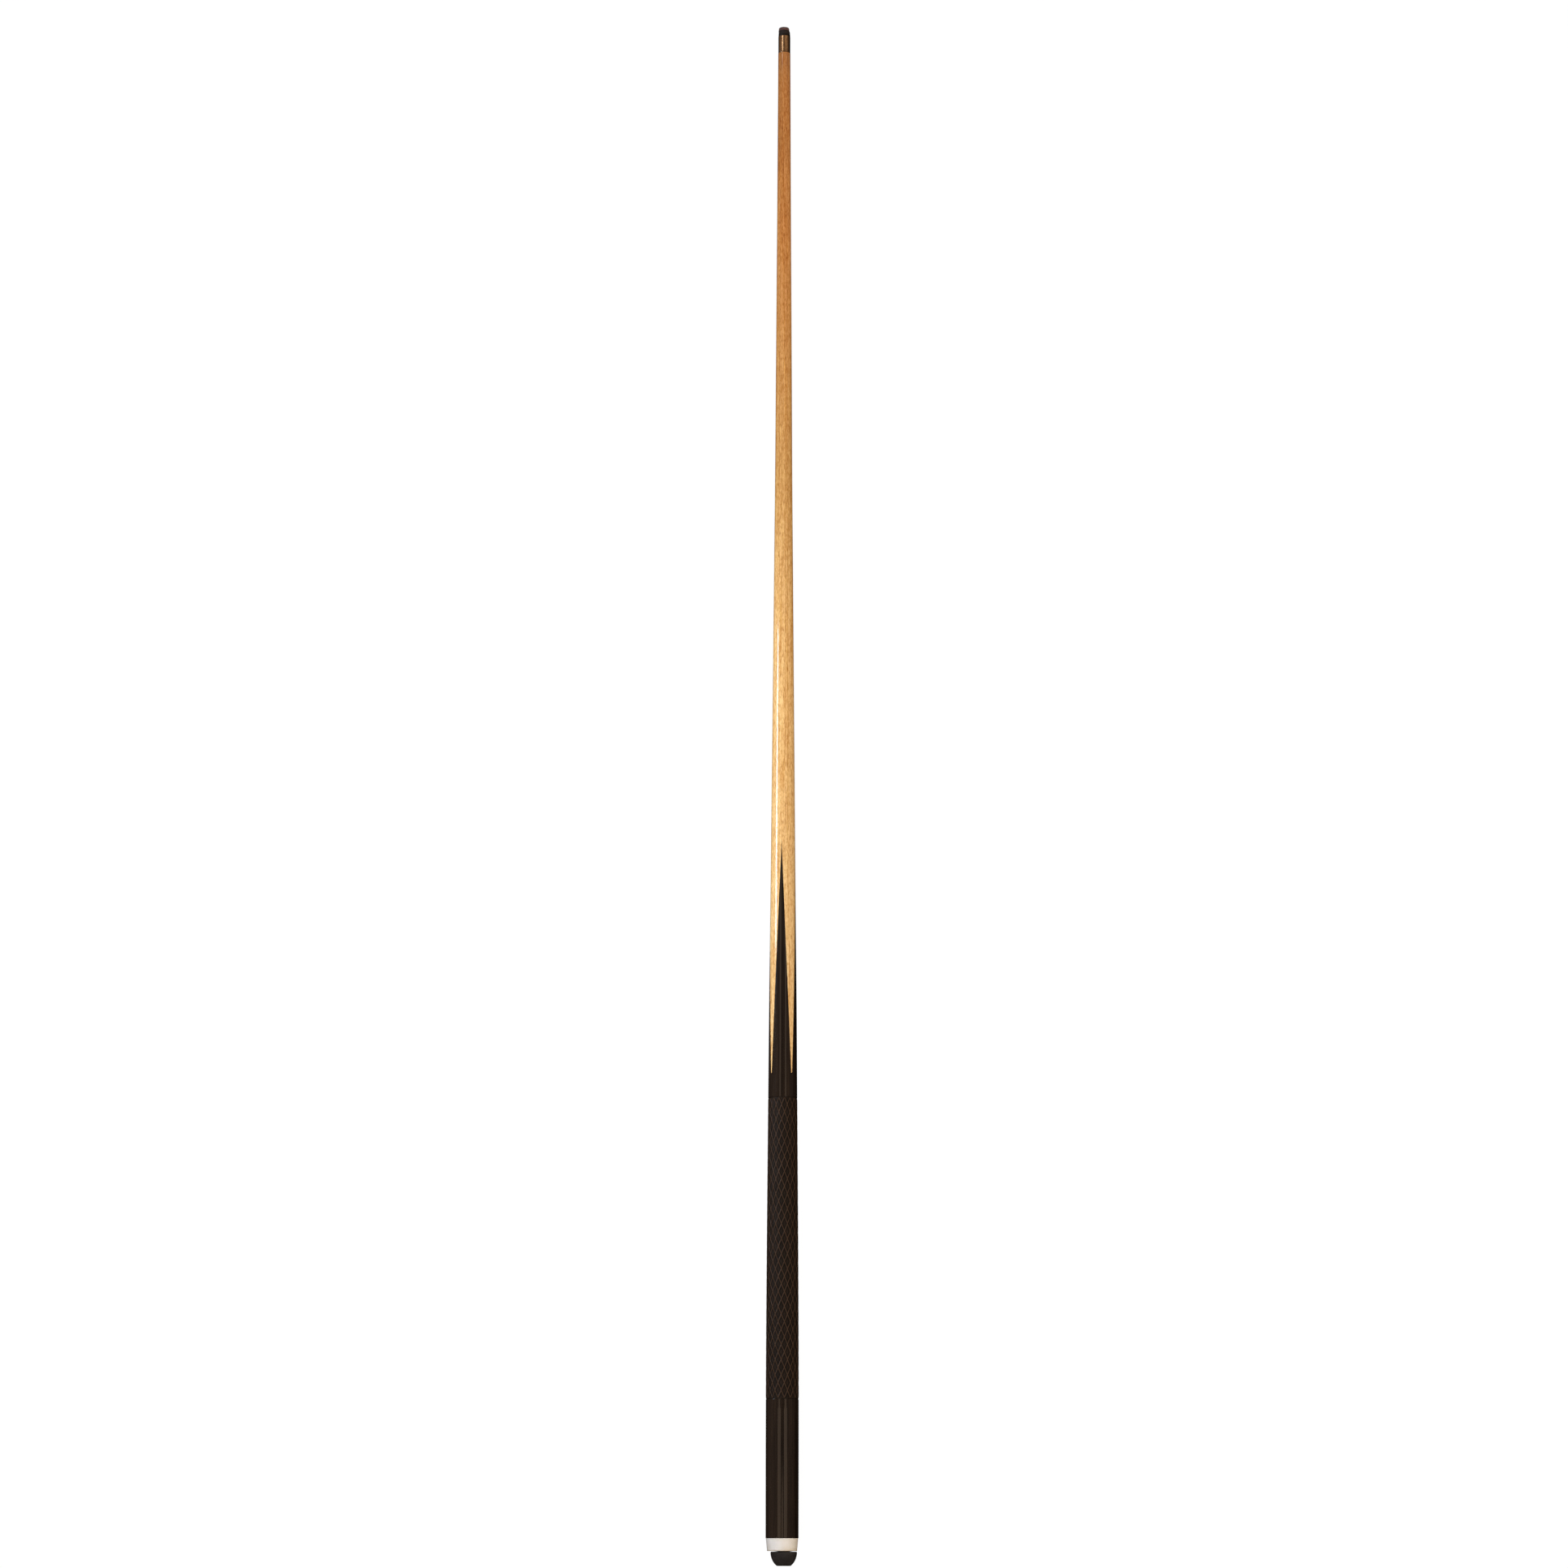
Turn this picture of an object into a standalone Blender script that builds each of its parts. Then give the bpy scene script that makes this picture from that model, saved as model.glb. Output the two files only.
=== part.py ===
"""A one-piece pool cue, 57 inches long, lying along +X with its butt at the origin.

The origin is the centre of the cue's axis on the rubber bumper's flat end. A light shaft is
spliced into a black butt with four long points. The tip screws into a brass ferrule, the bumper
pulls out of the butt cap, and a weight bolt sits in a bore behind it.

All sizes are in metres. "x" is a distance along the cue from the bumper's end.
"""

import math

import bmesh
import bpy

MM = 0.001
INCH = 25.4 * MM

# The whole cue
CUE_LENGTH = 57 * INCH
TURN_STEPS = 36
SMALL_TURN_STEPS = 24
GLUE_GAP = 0.1 * MM
CUT_GAP = 0.3 * MM
EDGE = 0.4 * MM
MERGE_DISTANCE = 0.001 * MM
SQUARE_TURN = math.pi / 2

# Stations of the taper: distance from the butt end, and diameter
TAPER = [
    (0 * MM, 29.2 * MM),
    (120 * MM, 29.4 * MM),
    (210 * MM, 29.0 * MM),
    (300 * MM, 28.0 * MM),
    (400 * MM, 26.6 * MM),
    (500 * MM, 25.1 * MM),
    (600 * MM, 23.0 * MM),
    (700 * MM, 21.25 * MM),
    (800 * MM, 19.5 * MM),
    (900 * MM, 17.8 * MM),
    (1000 * MM, 16.1 * MM),
    (1100 * MM, 15.0 * MM),
    (1200 * MM, 13.8 * MM),
    (1300 * MM, 12.65 * MM),
    (CUE_LENGTH, 11.3 * MM),
]

# Rubber bumper
BUMPER_DOME_TOP = 12.2 * MM
BUMPER_DOME_RADIUS = 11.8 * MM
BUMPER_DOME_HEIGHT = 14.2 * MM
BUMPER_OFFSET = 1.5 * MM
BUMPER_ARC_STEPS = 9
STEM_CORE_RADIUS = 4.1 * MM
STEM_BARB_RADIUS = 4.7 * MM
STEM_BARBS = 4
STEM_BARB_PITCH = 5.5 * MM
STEM_NOSE = 1.5 * MM
BARB_SLOPE = 2 * MM
BARB_LAND = 0.8 * MM
BARB_BACK = 0.2 * MM
STEM_END = 36 * MM

# White butt cap
CAP_START = 12.5 * MM
CAP_END = 24.1 * MM
CAP_FRONT_RADIUS = 14.3 * MM
CAP_REAR_RADIUS = 13.3 * MM
CAP_REAR_ROUND = 1.3 * MM
CAP_ROUND_STEPS = 6
CAP_WALL = 4.2 * MM
CAP_SOCKET_RADIUS = 10.0 * MM
STEM_HOLE_RADIUS = 5.0 * MM

# Weight bolt and its bore
BORE_RADIUS = 6.65 * MM
BORE_END = 160 * MM
DRILL_POINT = 3 * MM
BOLT_RADIUS = 6.35 * MM
BOLT_LENGTH = 4 * INCH
BOLT_CHAMFER = 1.0 * MM
HEX_ACROSS_FLATS = 0.25 * INCH
HEX_DEPTH = 9 * MM
HEX_SIDES = 6

# Grip wrap
WRAP_START = 146 * MM
WRAP_END = 416.2 * MM
WRAP_GROOVE_DEPTH = 0.9 * MM
WRAP_PROUD = 0.1 * MM

# Distances between the stations that follow the taper
HANDLE_SPACING = 40 * MM
WRAP_SPACING = 45 * MM
SPLICE_SPACING = 24 * MM
SHAFT_SPACING = 75 * MM

# Splice of the light shaft into the black butt
POINT_APEX = 654.4 * MM
LIGHT_END = 438.2 * MM
POINT_HALF_ANGLE = math.radians(43)
POINT_BULGE = 0.06
POINT_TURN = math.radians(-7)
POINT_COUNT = 4
SPLICE_SECTIONS = 12
SPLICE_REACH = 20 * MM
SPLICE_SIDES = 16
SPLICE_RUN_OUT = 1.02
POINT_BLANK_END = POINT_APEX + 4 * MM

# Ferrule, tip and their screw
FERRULE_START = 1421.3 * MM
FERRULE_END = 1438.3 * MM
FERRULE_RADIUS = 5.7 * MM
RIM_EDGE = 0.2 * MM
TENON_RADIUS = 4.4 * MM
TENON_LENGTH = 11 * MM
SCREW_BORE_RADIUS = 3.2 * MM
SCREW_RADIUS = 2.95 * MM
SCREW_START = 1430.5 * MM
SCREW_HEAD_RADIUS = 4.0 * MM
SCREW_HEAD_HEIGHT = 1.2 * MM
PAD_START = 1438.5 * MM
PAD_END = 1443.2 * MM
PAD_BASE_RADIUS = 5.6 * MM
PAD_TOP_RADIUS = 5.35 * MM
LEATHER_BASE_RADIUS = 5.3 * MM
LEATHER_RADIUS = 4.95 * MM
LEATHER_SHOULDER = 1.1 * MM
SHOULDER_END = 70
SHOULDER_STEPS = 6
CROWN_RADIUS = 10.6 * MM
CROWN_WIDTH = 4.2 * MM
CROWN_STEPS = 4


def clear_scene():
    for obj in list(bpy.data.objects):
        bpy.data.objects.remove(obj, do_unlink=True)


def new_collection(name):
    collection = bpy.data.collections.new(name)
    bpy.context.scene.collection.children.link(collection)
    return collection


def make_material(name, color, roughness, metallic=0.0):
    material = bpy.data.materials.new(name)
    material.use_nodes = True
    shader = material.node_tree.nodes["Principled BSDF"]
    shader.inputs["Base Color"].default_value = (*color, 1.0)
    shader.inputs["Roughness"].default_value = roughness
    shader.inputs["Metallic"].default_value = metallic
    return material


def cue_radius(x):
    """The cue's radius at x: a smooth curve through the taper's stations."""
    last = len(TAPER) - 1
    i = next((k for k in range(last) if x <= TAPER[k + 1][0]), last - 1)
    (x0, d0), (x1, d1) = TAPER[i], TAPER[i + 1]
    before = TAPER[max(i - 1, 0)]
    after = TAPER[min(i + 2, last)]
    slope0 = (d1 - before[1]) / (x1 - before[0])
    slope1 = (after[1] - d0) / (after[0] - x0)
    width = x1 - x0
    t = (x - x0) / width
    diameter = (
        (2 * t**3 - 3 * t**2 + 1) * d0
        + (t**3 - 2 * t**2 + t) * width * slope0
        + (3 * t**2 - 2 * t**3) * d1
        + (t**3 - t**2) * width * slope1
    )
    return diameter / 2


def stations(start, end, spacing):
    """Evenly spaced distances from end down to start, both included."""
    count = max(1, round((end - start) / spacing))
    return [end - (end - start) * i / count for i in range(count + 1)]


def link_mesh(name, collection, points, edges, faces):
    mesh = bpy.data.meshes.new(name)
    mesh.from_pydata(points, edges, faces)
    mesh.update()
    obj = bpy.data.objects.new(name, mesh)
    collection.objects.link(obj)
    return obj


def turned(name, collection, profile, material=None, closed=False, steps=TURN_STEPS):
    """A turned piece on the cue's axis.

    The profile's (radius, x) points run down the outer side, from the largest x to the smallest.
    A closed profile makes a ring, and an open one starts and ends on the axis.
    """
    points = [(radius, 0.0, x) for radius, x in profile]
    edges = [(i, i + 1) for i in range(len(points) - 1)]
    if closed:
        edges.append((len(points) - 1, 0))
    obj = link_mesh(name, collection, points, edges, [])
    obj.rotation_euler = (0.0, SQUARE_TURN, 0.0)
    screw = obj.modifiers.new("turn", "SCREW")
    screw.axis = "Z"
    screw.angle = 2 * math.pi
    screw.steps = steps
    screw.render_steps = steps
    screw.use_merge_vertices = True
    screw.merge_threshold = MERGE_DISTANCE
    screw.use_smooth_shade = True
    if material:
        obj.data.materials.append(material)
    return obj


def as_cutter(obj):
    obj.hide_render = True
    obj.display_type = "WIRE"
    return obj


def cut(obj, cutter):
    boolean = obj.modifiers.new("cut", "BOOLEAN")
    boolean.operation = "DIFFERENCE"
    boolean.solver = "EXACT"
    boolean.object = cutter


def round_arc(center, radius, start, end, steps):
    """Points of an arc in the (radius, x) plane; 0 degrees points outwards and 90 towards +X."""
    angles = [math.radians(start + (end - start) * i / steps) for i in range(steps + 1)]
    return [
        (center[0] + radius * math.cos(a), center[1] + radius * math.sin(a)) for a in angles
    ]


def point_half_angle(x):
    """Half of the angle that a black point takes of the cue's surface at x."""
    s = (POINT_APEX - x) / (POINT_APEX - LIGHT_END)
    return POINT_HALF_ANGLE * s * (1 + POINT_BULGE * (1 - s))


def point_depth(x):
    """Distance from the axis of a black point's inner edge at x.

    A point is a right-angled V in section, so this puts its sides on the surface where
    point_half_angle says.
    """
    angle = point_half_angle(x)
    return cue_radius(x) * (math.cos(angle) - math.sin(angle))


def splice_wedges(name, collection, inset):
    """The four black points as long wedges that reach out past the cue's surface.

    inset moves their sides inwards, towards the wedges' own insides.
    """
    run_out = SPLICE_RUN_OUT * (POINT_APEX - LIGHT_END)
    sections = [LIGHT_END + run_out * i / SPLICE_SECTIONS for i in range(-1, SPLICE_SECTIONS + 1)]
    bm = bmesh.new()
    for k in range(POINT_COUNT):
        turn = POINT_TURN + k * 2 * math.pi / POINT_COUNT
        out = (math.sin(turn), math.cos(turn))
        side = (math.cos(turn), -math.sin(turn))
        rings = []
        for x in sections:
            root = point_depth(max(x, LIGHT_END)) + inset * math.sqrt(2)
            corners = [(root, 0.0)]
            corners += [(root + SPLICE_REACH, SPLICE_REACH), (root + SPLICE_REACH, -SPLICE_REACH)]
            rings.append(
                [
                    bm.verts.new((x, -out[0] * r - side[0] * s, out[1] * r + side[1] * s))
                    for r, s in corners
                ]
            )
        for ring, following in zip(rings, rings[1:]):
            for i in range(3):
                j = (i + 1) % 3
                bm.faces.new((ring[i], ring[j], following[j], following[i]))
        bm.faces.new(rings[0])
        bm.faces.new(rings[-1])
    bmesh.ops.recalc_face_normals(bm, faces=bm.faces)
    mesh = bpy.data.meshes.new(name)
    bm.to_mesh(mesh)
    bm.free()
    obj = bpy.data.objects.new(name, mesh)
    collection.objects.link(obj)
    return as_cutter(obj)


def cylinder_cutter(name, collection, radius, start, end, offset_y=0.0, sides=SMALL_TURN_STEPS):
    """A prism along X from start to end."""
    bm = bmesh.new()
    bmesh.ops.create_cone(
        bm,
        cap_ends=True,
        segments=sides,
        radius1=radius,
        radius2=radius,
        depth=end - start,
    )
    mesh = bpy.data.meshes.new(name)
    bm.to_mesh(mesh)
    bm.free()
    obj = bpy.data.objects.new(name, mesh)
    obj.rotation_euler = (0.0, SQUARE_TURN, 0.0)
    obj.location = ((start + end) / 2, offset_y, 0.0)
    collection.objects.link(obj)
    return as_cutter(obj)


def make_bumper(parts):
    """The rubber bumper: a blunt dome with a flat end, and a barbed stem."""
    flat_angle = math.asin(BUMPER_DOME_TOP / BUMPER_DOME_HEIGHT)
    dome = []
    for i in range(BUMPER_ARC_STEPS + 1):
        a = flat_angle * i / BUMPER_ARC_STEPS
        height = BUMPER_DOME_TOP - BUMPER_DOME_HEIGHT * math.sin(a)
        dome.append((BUMPER_DOME_RADIUS * math.cos(a), height))
    stem = [(0.0, STEM_END), (STEM_CORE_RADIUS - EDGE, STEM_END)]
    for k in range(STEM_BARBS):
        top = STEM_END - STEM_NOSE - k * STEM_BARB_PITCH
        land = top - BARB_SLOPE - BARB_LAND
        stem += [
            (STEM_CORE_RADIUS, top),
            (STEM_BARB_RADIUS, top - BARB_SLOPE),
            (STEM_BARB_RADIUS, land),
            (STEM_CORE_RADIUS, land - BARB_BACK),
        ]
    stem.append((STEM_CORE_RADIUS, BUMPER_DOME_TOP))
    rubber = make_material("bumper_rubber", (0.035, 0.033, 0.035), 0.6)
    profile = stem + dome + [(0.0, 0.0)]
    bumper = turned("bumper", parts, profile, rubber, steps=SMALL_TURN_STEPS)
    bumper.location.y = -BUMPER_OFFSET
    return bumper


def make_butt_cap(parts, cutters):
    """The white cap: a cup on the butt's tenon, with a hole for the bumper's stem."""
    corner = (CAP_REAR_RADIUS - CAP_REAR_ROUND, CAP_START + CAP_REAR_ROUND)
    profile = [
        (CAP_SOCKET_RADIUS, CAP_END),
        (CAP_FRONT_RADIUS - EDGE, CAP_END),
        (CAP_FRONT_RADIUS, CAP_END - EDGE),
    ]
    profile += round_arc(corner, CAP_REAR_ROUND, 0, -90, CAP_ROUND_STEPS)
    profile += [(0.0, CAP_START), (0.0, CAP_START + CAP_WALL)]
    profile += [(CAP_SOCKET_RADIUS, CAP_START + CAP_WALL)]
    ivory = make_material("cap_plastic", (0.75, 0.69, 0.61), 0.35)
    cap = turned("butt_cap", parts, cup_from(profile), ivory)
    hole = cylinder_cutter(
        "stem_hole",
        cutters,
        STEM_HOLE_RADIUS,
        CAP_START - CAP_WALL,
        CAP_START + 2 * CAP_WALL,
        offset_y=-BUMPER_OFFSET,
    )
    cut(cap, hole)
    return cap


def cup_from(profile):
    """The same outline started from the axis inside the cup, so that it is one open path."""
    axis = [i for i, (radius, _) in enumerate(profile) if radius == 0.0]
    return profile[axis[1] :] + profile[: axis[0] + 1]


def make_butt(parts, cutters):
    """The black butt: a turned handle with a groove for the wrap, a tenon and four points."""
    tenon_end = CAP_START + CAP_WALL + CUT_GAP
    tenon_radius = CAP_SOCKET_RADIUS - GLUE_GAP
    shoulder = CAP_END + GLUE_GAP
    in_groove = stations(WRAP_START, WRAP_END, WRAP_SPACING)
    on_handle = stations(shoulder + EDGE, WRAP_START, HANDLE_SPACING)
    on_blank = stations(LIGHT_END, POINT_BLANK_END, SPLICE_SPACING)
    profile = [(0.0, POINT_BLANK_END)]
    profile += [(cue_radius(x), x) for x in on_blank + [WRAP_END]]
    profile += [(cue_radius(x) - WRAP_GROOVE_DEPTH, x) for x in in_groove]
    profile += [(cue_radius(x), x) for x in on_handle]
    profile += [(cue_radius(shoulder) - EDGE, shoulder), (tenon_radius, shoulder)]
    profile += [(tenon_radius, tenon_end + EDGE), (tenon_radius - EDGE, tenon_end)]
    profile += [(BORE_RADIUS, tenon_end), (BORE_RADIUS, BORE_END), (0.0, BORE_END + DRILL_POINT)]
    black = make_material("butt_lacquer", (0.02, 0.016, 0.013), 0.25)
    butt = turned("butt", parts, profile, black)
    light_space = cylinder_cutter(
        "light_space",
        cutters,
        SPLICE_REACH,
        LIGHT_END,
        POINT_APEX + SPLICE_REACH,
        sides=SPLICE_SIDES,
    )
    cut(light_space, splice_wedges("black_points", cutters, 0.0))
    cut(butt, light_space)
    return butt


def make_shaft(parts, cutters):
    """The light shaft: grooved for the black points, with a tenon inside the ferrule."""
    tenon_start = FERRULE_START - GLUE_GAP
    tenon_end = tenon_start + TENON_LENGTH
    profile = [
        (0.0, SCREW_START - CUT_GAP),
        (SCREW_BORE_RADIUS, SCREW_START - CUT_GAP),
        (SCREW_BORE_RADIUS, tenon_end),
        (TENON_RADIUS - EDGE, tenon_end),
        (TENON_RADIUS, tenon_end - EDGE),
        (TENON_RADIUS, tenon_start),
    ]
    on_shaft = stations(POINT_BLANK_END, tenon_start, SHAFT_SPACING)
    in_splice = stations(LIGHT_END, POINT_BLANK_END, SPLICE_SPACING)[1:-1]
    profile += [(cue_radius(x), x) for x in on_shaft + in_splice]
    profile += [(cue_radius(LIGHT_END), LIGHT_END + CUT_GAP), (0.0, LIGHT_END + CUT_GAP)]
    maple = make_material("shaft_maple", (0.72, 0.45, 0.2), 0.3)
    shaft = turned("shaft", parts, profile, maple)
    cut(shaft, splice_wedges("point_grooves", cutters, -CUT_GAP))
    return shaft


def make_grip_wrap(parts):
    """The grip wrap: a thin sleeve glued into the butt's groove."""
    ends = stations(WRAP_START + CUT_GAP, WRAP_END - CUT_GAP, WRAP_SPACING)
    outside = [(cue_radius(x) + WRAP_PROUD, x) for x in ends]
    inside = [(cue_radius(x) - WRAP_GROOVE_DEPTH + CUT_GAP, x) for x in reversed(ends)]
    vinyl = make_material("wrap_vinyl", (0.03, 0.024, 0.02), 0.45)
    return turned("grip_wrap", parts, outside + inside, vinyl, closed=True)


def make_weight_bolt(parts, cutters):
    """The steel weight bolt, seated at the end of its bore, with a hex socket to turn it."""
    end = BORE_END - CUT_GAP
    start = end - BOLT_LENGTH
    profile = [
        (0.0, end),
        (BOLT_RADIUS - BOLT_CHAMFER, end),
        (BOLT_RADIUS, end - BOLT_CHAMFER),
        (BOLT_RADIUS, start + BOLT_CHAMFER),
        (BOLT_RADIUS - BOLT_CHAMFER, start),
        (0.0, start),
    ]
    steel = make_material("bolt_steel", (0.5, 0.5, 0.52), 0.35, metallic=1.0)
    bolt = turned("weight_bolt", parts, profile, steel, steps=SMALL_TURN_STEPS)
    corner_radius = HEX_ACROSS_FLATS / math.sqrt(3)
    socket = cylinder_cutter(
        "hex_socket",
        cutters,
        corner_radius,
        start - HEX_DEPTH,
        start + HEX_DEPTH,
        sides=HEX_SIDES,
    )
    cut(bolt, socket)
    return bolt


def make_ferrule(parts):
    """The brass ferrule: a skirt over the shaft's tenon and a threaded front wall."""
    wall = FERRULE_START + TENON_LENGTH + CUT_GAP
    skirt = TENON_RADIUS + GLUE_GAP
    profile = [
        (SCREW_BORE_RADIUS + EDGE, FERRULE_END),
        (FERRULE_RADIUS - RIM_EDGE, FERRULE_END),
        (FERRULE_RADIUS, FERRULE_END - RIM_EDGE),
        (FERRULE_RADIUS, FERRULE_START),
        (skirt, FERRULE_START),
        (skirt, wall),
        (SCREW_BORE_RADIUS, wall),
        (SCREW_BORE_RADIUS, FERRULE_END - EDGE),
    ]
    brass = make_material("ferrule_brass", (0.42, 0.29, 0.15), 0.3, metallic=1.0)
    return turned("ferrule", parts, profile, brass, closed=True, steps=SMALL_TURN_STEPS)


def make_tip(parts):
    """The tip: domed leather on a fibre pad, which is clamped by a brass screw's head.

    The tip narrows towards its crown, and its dome has the radius of a nickel.
    """
    pocket_floor = PAD_END - SCREW_HEAD_HEIGHT - CUT_GAP
    pocket = SCREW_HEAD_RADIUS + CUT_GAP
    pad_profile = [
        (pocket, PAD_END),
        (PAD_TOP_RADIUS, PAD_END),
        (PAD_BASE_RADIUS, PAD_START + EDGE),
        (PAD_BASE_RADIUS - GLUE_GAP, PAD_START),
        (SCREW_BORE_RADIUS, PAD_START),
        (SCREW_BORE_RADIUS, pocket_floor),
        (pocket, pocket_floor),
    ]
    fibre = make_material("pad_fibre", (0.02, 0.018, 0.018), 0.5)
    pad = turned("tip_pad", parts, pad_profile, fibre, closed=True, steps=SMALL_TURN_STEPS)

    head_start = pocket_floor + GLUE_GAP
    screw_profile = [
        (0.0, head_start + SCREW_HEAD_HEIGHT),
        (SCREW_HEAD_RADIUS, head_start + SCREW_HEAD_HEIGHT),
        (SCREW_HEAD_RADIUS, head_start),
        (SCREW_RADIUS, head_start),
        (SCREW_RADIUS, SCREW_START + EDGE),
        (SCREW_RADIUS - EDGE, SCREW_START),
        (0.0, SCREW_START),
    ]
    brass = make_material("screw_brass", (0.6, 0.45, 0.2), 0.3, metallic=1.0)
    screw = turned("tip_screw", parts, screw_profile, brass, steps=SMALL_TURN_STEPS)

    leather_start = PAD_END + GLUE_GAP
    crown_drop = CROWN_WIDTH**2 / (2 * CROWN_RADIUS)
    rise = LEATHER_SHOULDER * math.sin(math.radians(SHOULDER_END))
    shoulder = (LEATHER_RADIUS - LEATHER_SHOULDER, CUE_LENGTH - crown_drop - rise)
    crown = [CROWN_WIDTH * i / CROWN_STEPS for i in range(CROWN_STEPS)]
    leather_profile = [(radius, CUE_LENGTH - radius**2 / (2 * CROWN_RADIUS)) for radius in crown]
    leather_profile += round_arc(shoulder, LEATHER_SHOULDER, SHOULDER_END, 0, SHOULDER_STEPS)
    leather_profile += [(LEATHER_BASE_RADIUS, leather_start), (0.0, leather_start)]
    hide = make_material("tip_leather", (0.13, 0.055, 0.045), 0.7)
    leather = turned("tip_leather", parts, leather_profile, hide, steps=SMALL_TURN_STEPS)
    return pad, screw, leather


def build():
    clear_scene()
    parts = new_collection("pool_cue")
    cutters = new_collection("cutters")
    make_bumper(parts)
    make_butt_cap(parts, cutters)
    make_butt(parts, cutters)
    make_shaft(parts, cutters)
    make_grip_wrap(parts)
    make_weight_bolt(parts, cutters)
    make_ferrule(parts)
    make_tip(parts)


build()
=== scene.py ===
"""Looks for the pool cue: detailed pieces, worn finishes, a pale floor and soft studio light.

Sizes are in metres, in the CAD's own frame: the cue's axis is +X and its butt end is at x = 0.
A turn is an angle about that axis, from 0 on top (+Z) towards the cue's right side (-Y).
"""

import math

import bmesh
import bpy
import numpy as np
from mathutils import Matrix, Vector


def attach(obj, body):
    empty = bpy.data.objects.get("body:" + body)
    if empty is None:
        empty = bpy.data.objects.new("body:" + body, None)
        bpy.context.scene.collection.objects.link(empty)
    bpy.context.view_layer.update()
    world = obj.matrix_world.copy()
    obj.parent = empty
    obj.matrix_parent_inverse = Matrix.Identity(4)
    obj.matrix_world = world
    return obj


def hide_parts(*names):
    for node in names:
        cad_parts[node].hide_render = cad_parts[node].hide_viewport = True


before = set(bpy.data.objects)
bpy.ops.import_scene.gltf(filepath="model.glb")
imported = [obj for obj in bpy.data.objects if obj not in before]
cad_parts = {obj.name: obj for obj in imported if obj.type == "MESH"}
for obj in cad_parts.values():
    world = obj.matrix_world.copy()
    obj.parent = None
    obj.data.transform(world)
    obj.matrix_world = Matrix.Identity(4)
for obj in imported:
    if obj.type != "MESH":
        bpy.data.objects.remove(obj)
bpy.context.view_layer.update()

MM = 0.001
INCH = 25.4 * MM
FULL_TURN = 2 * math.pi
COLUMNS = 96
THREAD_COLUMNS = 48
# where a thread's flanks end, as shares of half a pitch away from the crest's middle
CREST_END, ROOT_START = 0.12, 0.8

# The cue's taper, as distance from the butt end and diameter
CUE_LENGTH = 57 * INCH
TAPER = [
    (0 * MM, 29.2 * MM),
    (120 * MM, 29.4 * MM),
    (210 * MM, 29.0 * MM),
    (300 * MM, 28.0 * MM),
    (400 * MM, 26.6 * MM),
    (500 * MM, 25.1 * MM),
    (600 * MM, 23.0 * MM),
    (700 * MM, 21.25 * MM),
    (800 * MM, 19.5 * MM),
    (900 * MM, 17.8 * MM),
    (1000 * MM, 16.1 * MM),
    (1100 * MM, 15.0 * MM),
    (1200 * MM, 13.8 * MM),
    (1300 * MM, 12.65 * MM),
    (CUE_LENGTH, 11.3 * MM),
]

# Splice
POINT_APEX = 654.4 * MM
LIGHT_END = 438.2 * MM
POINT_HALF_ANGLE = math.radians(43)
POINT_BULGE = 0.06
POINT_TURN = math.radians(-7)
POINT_COUNT = 4
GLUE_LINE = 0.02 * MM
WALL_STEPS = 5
SPLICE_SPACING = 2.5 * MM

# Butt, cap and bumper
CAP_START = 12.5 * MM
CAP_END = 24.1 * MM
CAP_RADIUS = 14.3 * MM
CAP_REAR_RADIUS = 13.3 * MM
CAP_WALL = 4.2 * MM
CAP_LINES = (22.7 * MM, 14.9 * MM)
BUTT_TENON_RADIUS = 9.9 * MM
BUTT_TENON_END = CAP_START + 4.5 * MM
BUMPER_SIDE = -1.5 * MM
DOME_TOP = 12.2 * MM
DOME_RADIUS = 11.8 * MM
DOME_HEIGHT = 14.2 * MM
STEM_END = 36 * MM
STEM_RADIUS = 3.7 * MM
STEM_CORE_RADIUS = 4.1 * MM
BARB_RADIUS = 4.7 * MM
BARB_PITCH = 5.5 * MM
BARB_COUNT = 4
STEM_HOLE_RADIUS = 5.0 * MM

# Weight bolt, 1/2-13, in its bore
BORE_RADIUS = 6.65 * MM
BORE_END = 160 * MM
BOLT_LENGTH = 4 * INCH
BOLT_PITCH = INCH / 13
BOLT_MAJOR = 6.3 * MM
BOLT_MINOR = 5.3 * MM
BOLT_END_RADIUS = 4.9 * MM
HEX_HALF = INCH / 8

# Grip wrap
WRAP_START = 146 * MM
WRAP_END = 416.2 * MM
WRAP_FLOOR = 0.9 * MM
DIAMONDS_AROUND = 16
DIAMOND_LENGTH = 13.45 * MM
CROSSING_X = 409.1 * MM
CROSSING_TURN = -0.07
RIDGE_STEPS = [0, 0.055, 0.11, 0.17, 0.25, 0.37, 0.5, 0.63, 0.75, 0.83, 0.89, 0.945, 1]
RIDGE_HEIGHT = 0.24 * MM
RIDGE_WIDTH = 0.085
GROOVE_DEPTH = 0.15 * MM
GROOVE_PLACE = 0.19
GROOVE_WIDTH = 0.08
PILLOW_HEIGHT = 0.07 * MM
PILLOW_RUN = 0.3
SHEET_DEPTH = 0.17 * MM
SEAM_DEPTH = 0.16 * MM
SEAM_WIDTH = 0.5 * MM
HEM = 1.2 * MM

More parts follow.
